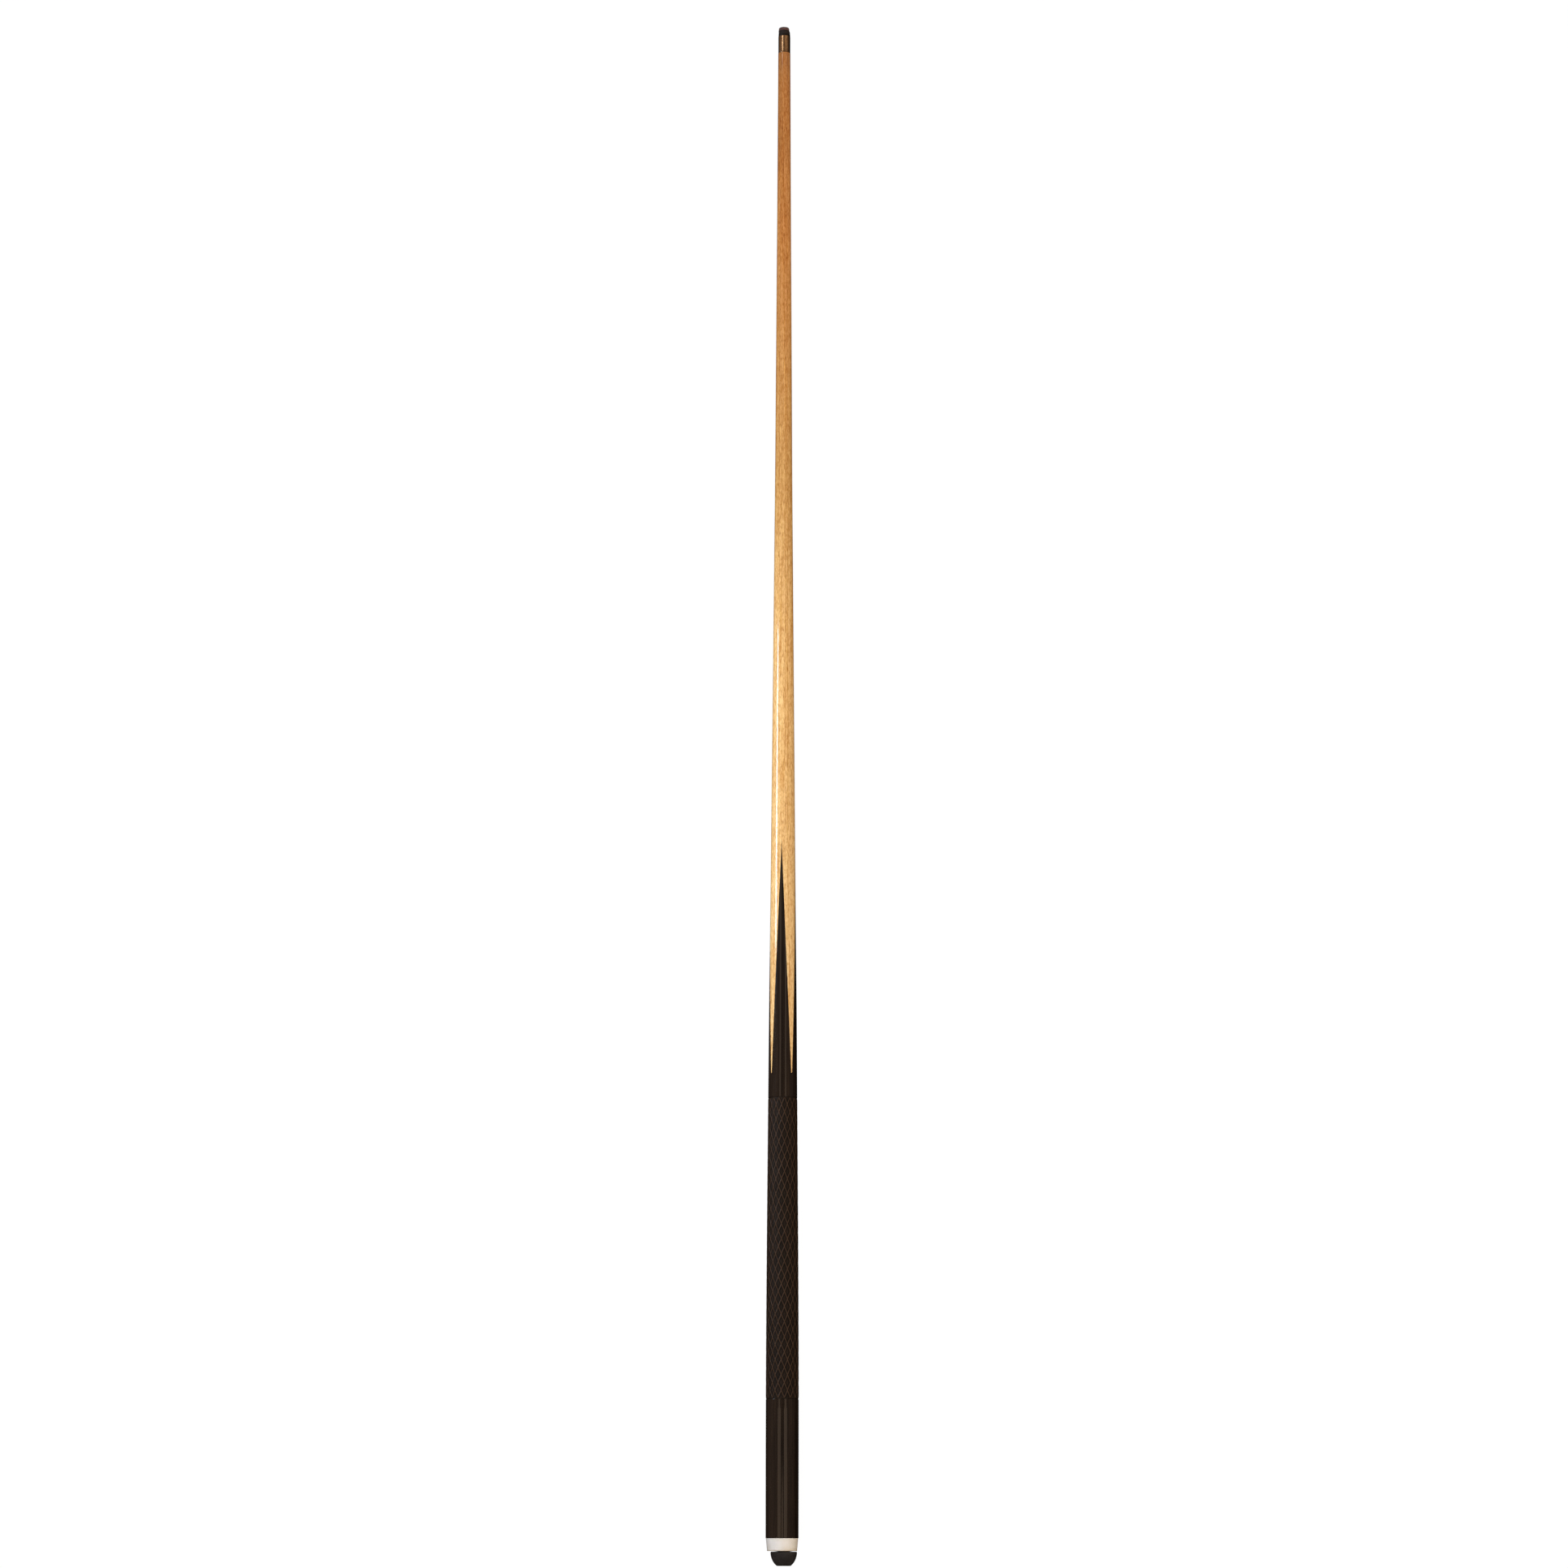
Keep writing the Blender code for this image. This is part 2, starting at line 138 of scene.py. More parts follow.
# Ferrule and tip
FERRULE_START = 1421.3 * MM
FERRULE_END = 1438.3 * MM
FERRULE_RADIUS = 5.7 * MM
TENON_RADIUS = 4.4 * MM
SCREW_START = 1430.5 * MM
FERRULE_WALL = FERRULE_START + 11.3 * MM
TENON_END = FERRULE_START + 10.9 * MM
SCREW_HOLE_RADIUS = 3.2 * MM
SCREW_RADIUS = 2.92 * MM
SCREW_ROOT = 2.35 * MM
NUT_CREST = 2.55 * MM
NUT_ROOT = 3.12 * MM
SCREW_PITCH = 1 * MM
PAD_START = 1438.5 * MM
PAD_END = 1443.2 * MM
HEAD_START = PAD_END - 1.4 * MM
HEAD_END = HEAD_START + 1.2 * MM
HEAD_RADIUS = 4.0 * MM
CROWN_RADIUS = 10.6 * MM
LEATHER_SIDE = 0.3 * MM
DENT_WAVES = 24
DENTS_PER_METRE = 900
DENT_SHARE = 0.02
DENT_DEPTH = 0.12 * MM

# Camera and floor
CAMERA_HEIGHT = 3.5022
CAMERA_PITCH = math.radians(11.414)
CAMERA_ROLL = math.radians(-0.085)
CAMERA_SIDE = -0.73 * MM
CAMERA_LENS = 88.93
SENSOR = 36
REST_BACK = (180 * MM, 14.78 * MM)
REST_FRONT = (1440 * MM, 5.72 * MM)
FLOOR_HALF = 30.0
CLIP_START = 0.05
CLIP_END = 100.0

# Light: distances from the cue's axis, and colours
FAR = 2.0
NEAR = 0.7
WHITE = (1.0, 1.0, 1.0)
COOL = (0.9, 1.0, 1.15)
WARM = (1.0, 0.86, 0.66)
TAN = (1.0, 0.74, 0.52)
ROOM_TINT = (1.0, 0.68, 0.5)


# ---- Geometry ----------------------------------------------------------------------------------


def cue_radius(x):
    """The cue's radius at x: a smooth curve through the taper's stations."""
    last = len(TAPER) - 1
    i = next((k for k in range(last) if x <= TAPER[k + 1][0]), last - 1)
    (x0, d0), (x1, d1) = TAPER[i], TAPER[i + 1]
    before = TAPER[max(i - 1, 0)]
    after = TAPER[min(i + 2, last)]
    slope0 = (d1 - before[1]) / (x1 - before[0])
    slope1 = (after[1] - d0) / (after[0] - x0)
    width = x1 - x0
    t = (x - x0) / width
    diameter = (
        (2 * t**3 - 3 * t**2 + 1) * d0
        + (t**3 - 2 * t**2 + t) * width * slope0
        + (3 * t**2 - 2 * t**3) * d1
        + (t**3 - t**2) * width * slope1
    )
    return diameter / 2


def spaced(start, end, spacing):
    """Equal steps of about that spacing from start to end, both included."""
    count = max(1, round(abs(end - start) / spacing))
    return [start + (end - start) * i / count for i in range(count + 1)]


def along(start, end, spacing, proud=0.0):
    """Outline points that follow the taper from start to end."""
    return [(x, cue_radius(x) + proud) for x in spaced(start, end, spacing)]


def soften(corners, steps=4):
    """An outline with rounded corners; a corner is (x, radius) or (x, radius, rounding)."""
    outline = []
    for i, corner in enumerate(corners):
        here = np.array(corner[:2])
        if len(corner) < 3:
            outline.append(tuple(here))
            continue
        back = np.array(corners[i - 1][:2]) - here
        on = np.array(corners[(i + 1) % len(corners)][:2]) - here
        reach = min(corner[2], np.linalg.norm(back) / 2, np.linalg.norm(on) / 2)
        back *= reach / np.linalg.norm(back)
        on *= reach / np.linalg.norm(on)
        for k in range(steps + 1):
            t = k / steps
            outline.append(tuple(here + back * (1 - t) ** 2 + on * t**2))
    return outline


def polar(x, radius, turn):
    """Points from arrays of x, radius and turn."""
    x, radius, turn = np.broadcast_arrays(x, radius, turn)
    return np.stack([x, -radius * np.sin(turn), radius * np.cos(turn)], -1)


def turned(outline, columns=COLUMNS, side=0.0):
    """Rings of an outline turned about the cue's axis, moved by side along Y."""
    outline = np.array(outline)
    turn = np.arange(columns) * FULL_TURN / columns
    return polar(outline[:, :1], outline[:, 1:], turn) + (0.0, side, 0.0)


def loft(rings, closed=False):
    """(points, faces) of a tube through rings of equally many points."""
    rings = np.asarray(rings)
    rows, columns = rings.shape[:2]
    grid = np.arange(rows * columns).reshape(rows, columns)
    if closed:
        grid = np.vstack([grid, grid[:1]])
    first, second = grid[:-1], grid[1:]
    faces = [first, np.roll(first, -1, 1), np.roll(second, -1, 1), second]
    return rings.reshape(-1, 3), np.stack(faces, -1).reshape(-1, 4)


def make_mesh(name, shells, sharp=math.radians(35)):
    """A smooth mesh object from several (points, faces) shells."""
    bm = bmesh.new()
    for points, faces in shells:
        verts = [bm.verts.new(p) for p in points]
        for face in faces:
            bm.faces.new([verts[i] for i in face])
    bmesh.ops.remove_doubles(bm, verts=bm.verts, dist=0.0005 * MM)
    bmesh.ops.recalc_face_normals(bm, faces=bm.faces)
    mesh = bpy.data.meshes.new(name)
    bm.to_mesh(mesh)
    bm.free()
    mesh.shade_smooth()
    mesh.set_sharp_from_angle(angle=sharp)
    obj = bpy.data.objects.new(name, mesh)
    bpy.context.scene.collection.objects.link(obj)
    return obj


def add_piece(obj, material, body, node):
    """Gives a piece its material, and lets it stand for a CAD node on that node's body."""
    obj.data.materials.append(material)
    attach(obj, body)
    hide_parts(node)


def point_half_angle(x):
    """Half of the angle that a black point takes of the cue's surface at x."""
    s = (POINT_APEX - x) / (POINT_APEX - LIGHT_END)
    return POINT_HALF_ANGLE * s * (1 + POINT_BULGE * (1 - s))


def wall_radius(turn, radius, half_angle):
    """Radius of a right-angled V's walls that meet the surface at +-half_angle."""
    root = radius * (math.cos(half_angle) - math.sin(half_angle))
    return root / (np.cos(turn) - np.abs(np.sin(turn)))


def thread_radius(phase, major, minor):
    """Radius of a V thread with a flat crest at phase 0."""
    away = np.abs((phase + 0.5) % 1 - 0.5) * 2
    return np.interp(away, [CREST_END, ROOT_START], [major, minor])


def thread_turns():
    """The turns of a threaded piece's columns."""
    return -np.arange(THREAD_COLUMNS) * FULL_TURN / THREAD_COLUMNS


def threaded(start, end, pitch, major, minor, run_out, rows=10):
    """Rings of a right-hand thread, smooth at both ends, where it has its minor radius."""
    lead = np.arange(THREAD_COLUMNS) * pitch / THREAD_COLUMNS
    count = math.ceil((end - start) / pitch) + 1
    steps = np.arange(-rows, count * rows + 1)[:, None] / rows
    x = np.clip(start + steps * pitch + lead, start, end)
    radius = thread_radius((x - lead) / pitch, major, minor)
    room = np.minimum(x - start, end - x) / run_out
    radius = minor + (radius - minor) * np.clip(room, 0, 1)
    return polar(x, radius, thread_turns())


# ---- Materials ---------------------------------------------------------------------------------


def rgb(red, green, blue):
    """A colour from 0-255 display values."""
    linear = [
        c / 12.92 if c <= 0.04045 else ((c + 0.055) / 1.055) ** 2.4
        for c in (red / 255, green / 255, blue / 255)
    ]
    return (*linear, 1.0)


def grey(value):
    """A grey from a linear value."""
    return (value, value, value, 1.0)


class Nodes:
    """A shader node tree in the making. Apart from node, each method gives an output."""

    def __init__(self, tree):
        self.tree = tree

    def node(self, kind, inputs=(), **settings):
        """Adds a node. Inputs are constants or other nodes' outputs, by index or by name."""
        node = self.tree.nodes.new(kind)
        for key, value in settings.items():
            setattr(node, key, value)
        pairs = inputs.items() if isinstance(inputs, dict) else enumerate(inputs)
        for key, value in pairs:
            if isinstance(value, bpy.types.NodeSocket):
                self.tree.links.new(value, node.inputs[key])
            else:
                node.inputs[key].default_value = value
        return node

    def math(self, operation, *values):
        return self.node("ShaderNodeMath", values, operation=operation).outputs[0]

    def remap(self, value, low, high, start=0.0, end=1.0):
        """Maps low..high onto start..end, and holds those ends outside."""
        inputs = [value, low, high, start, end]
        return self.node("ShaderNodeMapRange", inputs, clamp=True).outputs[0]

    def mix(self, amount, first, second, blend="MIX"):
        inputs = {0: amount, 6: first, 7: second}
        node = self.node("ShaderNodeMix", inputs, data_type="RGBA", blend_type=blend)
        return node.outputs[2]

    def ramp(self, value, *stops):
        """A colour ramp through (position, colour) stops."""
        node = self.node("ShaderNodeValToRGB", [value])
        elements = node.color_ramp.elements
        while len(elements) < len(stops):
            elements.new(0.5)
        for element, (position, color) in zip(elements, stops):
            element.position = position
            element.color = color
        return node.outputs[0]


class Surface(Nodes):
    """A procedural material in the making. Its textures use the piece's own coordinates."""

    def __init__(self, name, sockets):
        self.material = bpy.data.materials.new(name)
        self.material.use_nodes = True
        super().__init__(self.material.node_tree)
        self.shader = self.tree.nodes["Principled BSDF"]
        for socket, value in sockets.items():
            self.set(socket, value)
        self.place = self.node("ShaderNodeTexCoord").outputs["Object"]
        self.x, self.y, self.z = self.node("ShaderNodeSeparateXYZ", [self.place]).outputs

    def set(self, socket, value):
        """Sets a socket of the shader to a constant or to another node's output."""
        target = self.shader.inputs[socket]
        if isinstance(value, bpy.types.NodeSocket):
            self.tree.links.new(value, target)
        else:
            target.default_value = value

    def noise(self, x, y, z, detail=3.0, roughness=0.55, distortion=0.0):
        """Noise with that many features per metre along each axis."""
        stretched = self.node("ShaderNodeMapping", {0: self.place, 3: (x, y, z)}).outputs[0]
        inputs = {
            "Vector": stretched,
            "Scale": 1.0,
            "Detail": detail,
            "Roughness": roughness,
            "Distortion": distortion,
        }
        return self.node("ShaderNodeTexNoise", inputs).outputs[0]

    def bump(self, *layers):
        """Stacks (height, depth in metres) layers and puts them on the shader's normal."""
        normal = None
        for height, depth in layers:
            inputs = {"Height": height, "Distance": depth, "Strength": 1.0}
            if normal:
                inputs["Normal"] = normal
            normal = self.node("ShaderNodeBump", inputs).outputs[0]
        self.set("Normal", normal)


# Wood under clear lacquer: the lacquer alone mirrors, not the wood
LACQUER = {"Coat Weight": 1.0, "Coat IOR": 1.5, "Specular IOR Level": 0.0}


def maple_finish():
    """Golden lacquered maple that darkens and reddens towards the tip, partly its own tone and
    partly painted light.
    """
    s = Surface("maple", {**LACQUER, "Coat Roughness": 0.06})
    along_shaft = s.remap(s.x, LIGHT_END, FERRULE_START)
    # the ramp is partly the wood's own tone and partly painted light: lightest from the splice to
    # mid-shaft, with painted shade towards the tip
    tone = s.ramp(
        along_shaft,
        (0.0, rgb(255, 219, 160)),
        (0.18, rgb(255, 218, 158)),
        (0.31, rgb(250, 208, 144)),
        (0.42, rgb(248, 205, 141)),
        (0.58, rgb(224, 176, 110)),
        (0.82, rgb(222, 157, 93)),
        (0.97, rgb(203, 138, 77)),
        (1.0, rgb(192, 130, 73)),
    )
    cloud = s.noise(5, 60, 60, detail=2)
    cloud_amount = s.remap(cloud, 0.35, 0.7, 0.0, 0.22)
    tone = s.mix(cloud_amount, tone, rgb(224, 196, 150), "MULTIPLY")
    rings = s.math("SINE", s.math("MULTIPLY", s.noise(2.2, 120, 70, detail=1), 26.0))
    ring_tone = s.mix(1.0, tone, rgb(226, 204, 170), "MULTIPLY")
    tone = s.mix(s.remap(rings, 0.55, 1.0, 0.0, 0.6), tone, ring_tone)
    fibres = s.noise(30, 1100, 1100, detail=4, roughness=0.75)
    fibre_tone = s.mix(1.0, tone, rgb(212, 184, 146), "MULTIPLY")
    tone = s.mix(s.remap(fibres, 0.44, 0.62, 0.0, 0.62), tone, fibre_tone)
    pale = s.noise(26, 700, 700, detail=3)
    tone = s.mix(s.remap(pale, 0.54, 0.7, 0.0, 0.4), tone, rgb(255, 240, 206), "SOFT_LIGHT")
    flecks = s.noise(170, 1700, 1700, detail=2)
    fleck_tone = s.mix(1.0, tone, rgb(190, 150, 106), "MULTIPLY")
    tone = s.mix(s.remap(flecks, 0.56, 0.68, 0.0, 0.7), tone, fleck_tone)
    mottle = s.noise(260, 640, 640, detail=3, roughness=0.6, distortion=0.6)
    mottle_tone = s.mix(1.0, tone, rgb(218, 190, 150), "MULTIPLY")
    tone = s.mix(s.remap(mottle, 0.42, 0.62, 0.0, 0.6), tone, mottle_tone)
    grime = s.math("MULTIPLY", s.remap(s.x, 1.2, 1.42), s.remap(s.noise(40, 300, 300), 0.45, 0.7))
    tone = s.mix(s.math("MULTIPLY", grime, 0.3), tone, rgb(130, 94, 66))
    s.set("Base Color", tone)
    s.set("Roughness", s.remap(fibres, 0.3, 0.7, 0.42, 0.58))
    scratches = s.noise(700, 40, 40, detail=3, roughness=0.8)
    s.bump((fibres, 0.02 * MM), (flecks, 0.03 * MM), (s.remap(scratches, 0.6, 0.75), 0.01 * MM))
    return s.material


def black_finish():
    """Near-black lacquered hardwood with faint brown streaks."""
    s = Surface("black_lacquer", {**LACQUER, "Coat Roughness": 0.09})
    streaks = s.noise(16, 620, 620, detail=4, roughness=0.7)
    tone = s.mix(s.remap(streaks, 0.4, 0.7), rgb(17, 12, 9), rgb(38, 28, 20))
    pores = s.noise(70, 1900, 1900, detail=2)
    tone = s.mix(s.remap(pores, 0.6, 0.7, 0.0, 0.7), tone, rgb(10, 7, 5))
    dust = s.noise(900, 900, 900, detail=2)
    tone = s.mix(s.remap(dust, 0.7, 0.78, 0.0, 0.2), tone, rgb(96, 80, 66))
    s.set("Base Color", tone)
    s.set("Roughness", s.remap(streaks, 0.3, 0.7, 0.4, 0.55))
    scratches = s.noise(800, 30, 30, detail=3, roughness=0.8)
    s.bump((pores, 0.02 * MM), (s.remap(scratches, 0.62, 0.75), 0.008 * MM))
    return s.material


def wrap_finish():
    """Black leatherette: fine grain, dull grooves and handled, shinier ridges; painted highlight
    lightens the ridges and painted shade darkens the grooves.
    """
    s = Surface("leatherette", {"Specular IOR Level": 0.18})
    lift = s.node("ShaderNodeAttribute", attribute_name="lift").outputs["Fac"]
    grain = s.node(
        "ShaderNodeTexVoronoi",
        {"Vector": s.place, "Scale": 1500.0, "Randomness": 1.0},
        feature="SMOOTH_F1",
    ).outputs[0]
    soil = s.noise(90, 260, 260, detail=4)
    tone = s.mix(s.remap(soil, 0.35, 0.7), rgb(23, 16, 9), rgb(38, 26, 16))
    # painted highlight: the raised ridges are lightened
    tone = s.mix(s.remap(lift, 0.5, 1.0, 0.0, 0.9), tone, rgb(72, 51, 36))
    # painted shade: the grooves are darkened nearly to black
    tone = s.mix(s.remap(lift, 0.0, 0.34, 1.0, 0.0), tone, rgb(5, 4, 3))
    s.set("Base Color", tone)
    s.set("Roughness", s.remap(lift, 0.2, 1.0, 0.6, 0.32))
    s.bump((grain, 0.05 * MM), (soil, 0.03 * MM))
    return s.material


def ivory_finish():
    """Aged ivory plastic with fine scratches and grime lines; painted shade darkens it towards
    the rear edge, most on its right, and a painted warm cast yellows its right side.
    """
    s = Surface(
        "ivory_plastic",
        {
            "Coat Weight": 0.4,
            "Coat Roughness": 0.12,
            "Subsurface Weight": 0.08,
            "Subsurface Radius": (1.0, 0.7, 0.5),
            "Subsurface Scale": 0.8 * MM,
        },
    )
    cloud = s.noise(70, 70, 70, detail=3)
    tone = s.mix(s.remap(cloud, 0.35, 0.7), rgb(238, 232, 226), rgb(228, 217, 204))
    # painted shade: the rear of the cap turns tan towards its right side (-Y)
    rear = s.math("MULTIPLY", s.remap(s.x, 17.5 * MM, CAP_START), s.remap(s.y, 4 * MM, -13 * MM))
    tone = s.mix(s.math("MULTIPLY", rear, 0.55), tone, rgb(206, 184, 144))
    # painted warm light: the cap's right side (-Y) is tinted yellow
    side = s.remap(s.y, 2 * MM, -14 * MM, 0.0, 0.3)
    tone = s.mix(side, tone, rgb(214, 196, 166))
    # painted shade: the rounded rear edge is darkened
    rim = s.remap(s.x, 14.4 * MM, 12.7 * MM, 0.0, 0.7)
    tone = s.mix(rim, tone, rgb(170, 144, 106))
    specks = s.noise(1500, 1500, 1500, detail=2)
    tone = s.mix(s.remap(specks, 0.68, 0.75, 0.0, 0.4), tone, rgb(130, 108, 84))
    scuffs = s.noise(2600, 90, 90, detail=3, roughness=0.8)
    tone = s.mix(s.remap(scuffs, 0.66, 0.74, 0.0, 0.35), tone, rgb(168, 148, 122))
    s.set("Base Color", tone)
    s.set("Roughness", s.remap(cloud, 0.3, 0.7, 0.3, 0.45))
    s.bump((s.remap(scuffs, 0.6, 0.75), 0.015 * MM), (cloud, 0.03 * MM))
    return s.material


def rubber_finish():
    """Black rubber with a dusty, finely pitted skin."""
    s = Surface("rubber", {"Specular IOR Level": 0.35})
    dust = s.noise(160, 160, 160, detail=5, roughness=0.65)
    tone = s.mix(s.remap(dust, 0.35, 0.7), rgb(29, 26, 25), rgb(44, 40, 38))
    pits = s.noise(1800, 1800, 1800, detail=2)
    tone = s.mix(s.remap(pits, 0.6, 0.72, 0.0, 0.6), tone, rgb(70, 65, 62))
    s.set("Base Color", tone)
    s.set("Roughness", s.remap(dust, 0.3, 0.7, 0.55, 0.75))
    s.bump((pits, 0.05 * MM), (dust, 0.08 * MM))
    return s.material


def brass_finish(name, bright, dark, wear):
    """Turned brass with lathe lines, fingerprints and tarnish."""
    s = Surface(name, {"Metallic": 1.0})
    tarnish = s.noise(180, 420, 420, detail=5, roughness=0.7)
    tone = s.mix(s.remap(tarnish, 0.35, 0.68, 0.0, wear), bright, dark)
    lathe = s.noise(5200, 60, 60, detail=2)
    tone = s.mix(s.remap(lathe, 0.45, 0.65, 0.0, 0.35), tone, dark)
    s.set("Base Color", tone)
    s.set("Roughness", s.remap(tarnish, 0.3, 0.7, 0.18, 0.3))
    dings = s.noise(420, 420, 420, detail=2)
    s.bump((lathe, 0.012 * MM), (s.remap(dings, 0.6, 0.75), 0.03 * MM))
    return s.material


def fibre_finish():
    """Black vulcanised fibre in thin pressed layers, darkest beside the ferrule."""
    s = Surface("black_fibre", {"Specular IOR Level": 0.3})
    layers = s.noise(2600, 120, 120, detail=3)
    tone = s.mix(s.remap(layers, 0.35, 0.65), rgb(28, 22, 20), rgb(42, 33, 29))
    fuzz = s.noise(2200, 2200, 2200, detail=2)
    tone = s.mix(s.remap(fuzz, 0.6, 0.7, 0.0, 0.5), tone, rgb(64, 54, 48))
    base = s.remap(s.x, PAD_START + 2.2 * MM, PAD_START + 1.4 * MM)
    tone = s.mix(s.math("MULTIPLY", base, 0.8), tone, rgb(16, 9, 5))
    s.set("Base Color", tone)
    s.set("Roughness", s.remap(layers, 0.3, 0.7, 0.5, 0.65))
    s.bump((layers, 0.02 * MM), (fuzz, 0.03 * MM))
    return s.material


def leather_finish():
    """Tip leather: napped crown, dark burnished rim and a red-brown band above its base."""
    s = Surface(
        "tip_hide", {"Specular IOR Level": 0.3, "Sheen Weight": 0.15, "Sheen Roughness": 0.5}
    )
    nap = s.noise(1500, 1500, 1500, detail=5, roughness=0.7)
    crown = s.mix(s.remap(nap, 0.35, 0.65), rgb(88, 56, 50), rgb(128, 92, 84))
    layers = s.noise(3200, 150, 150, detail=3)
    band = s.mix(s.remap(layers, 0.35, 0.65), rgb(84, 54, 50), rgb(112, 76, 70))
    dark = s.mix(s.remap(layers, 0.35, 0.65), rgb(30, 17, 15), rgb(46, 27, 24))
    low = s.remap(s.x, PAD_END + 0.5 * MM, PAD_END + 1.3 * MM)
    sides = s.mix(low, dark, band)
    sides = s.mix(s.remap(s.x, PAD_END + 2.5 * MM, PAD_END + 3.1 * MM), sides, dark)
    radius = s.math("SQRT", s.math("ADD", s.math("POWER", s.y, 2.0), s.math("POWER", s.z, 2.0)))
    tone = s.mix(s.remap(radius, 3.2 * MM, 4.2 * MM), crown, sides)
    blotches = s.noise(420, 420, 420, detail=3)
    tone = s.mix(s.remap(blotches, 0.5, 0.7, 0.0, 0.4), tone, rgb(36, 24, 22))
    s.set("Base Color", tone)
    s.set("Roughness", s.remap(radius, 3.4 * MM, 5.2 * MM, 0.9, 0.55))
    s.bump((nap, 0.09 * MM), (layers, 0.03 * MM))
    return s.material


def steel_finish():
    """Zinc-plated steel with handling marks and some dull oxide."""
    s = Surface("plated_steel", {"Metallic": 1.0})
    oxide = s.noise(120, 300, 300, detail=5, roughness=0.7)
    tone = s.mix(s.remap(oxide, 0.35, 0.7), rgb(188, 190, 192), rgb(132, 130, 128))
    spots = s.noise(900, 900, 900, detail=3)
    tone = s.mix(s.remap(spots, 0.64, 0.72, 0.0, 0.6), tone, rgb(104, 84, 66))
    s.set("Base Color", tone)
    s.set("Roughness", s.remap(oxide, 0.3, 0.7, 0.28, 0.5))
    s.bump((s.noise(2400, 300, 300), 0.01 * MM), (spots, 0.02 * MM))
    return s.material


# ---- Pieces ------------------------------------------------------------------------------------


def make_shaft():
    """The light shaft: grooved for the four points, then turned down to its tenon."""
    lands = COLUMNS // POINT_COUNT
    rings = []
    for x in spaced(LIGHT_END + 0.1 * MM, POINT_APEX, SPLICE_SPACING):
        radius, half = cue_radius(x), point_half_angle(x)
        turns, radii = [], []
        for k in range(POINT_COUNT):
            middle = POINT_TURN + k * FULL_TURN / POINT_COUNT
            groove = half * np.linspace(-1, 1, 2 * WALL_STEPS + 1)
            land = np.linspace(half, FULL_TURN / POINT_COUNT - half, lands + 1)[1:-1]
            turns += [middle + groove, middle + land]
            radii += [wall_radius(groove, radius, half), np.full(lands - 1, radius)]
        rings.append(polar(x, np.concatenate(radii), np.concatenate(turns)))
    centre = np.zeros_like(rings[0])
    centre[:, 0] = rings[0][0, 0]
    rear = loft([centre] + rings)
    shoulder = FERRULE_START - 0.1 * MM
    hole_end = SCREW_START - 0.3 * MM
    outline = along(POINT_APEX, FERRULE_START - 0.25 * MM, 12 * MM)
    outline += [(shoulder, FERRULE_RADIUS - 0.08 * MM)]
    outline += soften(
        [
            (shoulder, TENON_RADIUS),
            (TENON_END, TENON_RADIUS, 0.4 * MM),
            (TENON_END, SCREW_HOLE_RADIUS),
            (hole_end, SCREW_HOLE_RADIUS),
            (hole_end, 0.0),
        ]
    )
    turn = POINT_TURN + np.arange(COLUMNS) * FULL_TURN / COLUMNS
    outline = np.array(outline)
    front = polar(outline[:, :1], outline[:, 1:], turn)
    return make_mesh("shaft_wood", [rear, loft(front)])


def make_point(index):
    """One black point of the butt: a long prong with a V under it."""
    rings = []
    for x in spaced(LIGHT_END, POINT_APEX - 0.3 * MM, SPLICE_SPACING):
        radius = cue_radius(x)
        half = point_half_angle(x) - GLUE_LINE / radius
        top = half * np.linspace(-1, 1, 4 * WALL_STEPS + 1)
        wall = half * np.linspace(1, -1, 2 * WALL_STEPS + 1)[1:-1]
        turn = np.concatenate([top, wall]) + POINT_TURN + index * FULL_TURN / POINT_COUNT
        radii = np.concatenate([np.full(len(top), radius), wall_radius(wall, radius, half)])
        rings.append(polar(x, radii, turn))
    ends = [np.repeat(ring.mean(0)[None], len(ring), 0) for ring in (rings[0], rings[-1])]
    return loft([ends[0]] + rings + [ends[1]])


def make_butt():
    """The black butt: tenon, recess for the wrap, four points, and a bore for the bolt."""
    shoulder = CAP_END + 0.05 * MM
    lip = 0.35 * MM
    corners = [(LIGHT_END, 0.0), (LIGHT_END, cue_radius(LIGHT_END))]
    corners += along(LIGHT_END, WRAP_END, 6 * MM)[1:-1]
    corners += [
        (WRAP_END, cue_radius(WRAP_END), lip),
        (WRAP_END, cue_radius(WRAP_END) - WRAP_FLOOR),
    ]
    corners += along(WRAP_END, WRAP_START, 30 * MM, -WRAP_FLOOR)[1:-1]
    corners += [
        (WRAP_START, cue_radius(WRAP_START) - WRAP_FLOOR),
        (WRAP_START, cue_radius(WRAP_START), lip),
    ]
    corners += along(WRAP_START, shoulder, 12 * MM)[1:-1]
    corners += [
        (shoulder, cue_radius(shoulder), 0.3 * MM),
        (shoulder, BUTT_TENON_RADIUS),
        (BUTT_TENON_END, BUTT_TENON_RADIUS, 0.4 * MM),
        (BUTT_TENON_END, BORE_RADIUS, 0.3 * MM),
        (BORE_END, BORE_RADIUS),
        (BORE_END + 3 * MM, 0.0),
    ]
    shells = [loft(turned(soften(corners)))]
    shells += [make_point(k) for k in range(POINT_COUNT)]
    return make_mesh("butt_wood", shells)


def wrap_lift(p, q):
    """Height of the wrap's pattern, where ridges run along whole p and whole q."""
    height = np.zeros_like(p)
    for value in (p, q):
        away = np.abs(value - np.round(value))
        height = np.maximum(height, np.exp(-((away / RIDGE_WIDTH) ** 2)))
    edge = np.minimum(np.abs(p - np.round(p)), np.abs(q - np.round(q)))
    groove = np.exp(-(((edge - GROOVE_PLACE) / GROOVE_WIDTH) ** 2)) * (1 - height)
    pillow = np.clip((edge - GROOVE_PLACE) / PILLOW_RUN, 0, 1)
    return RIDGE_HEIGHT * height - GROOVE_DEPTH * groove + PILLOW_HEIGHT * pillow


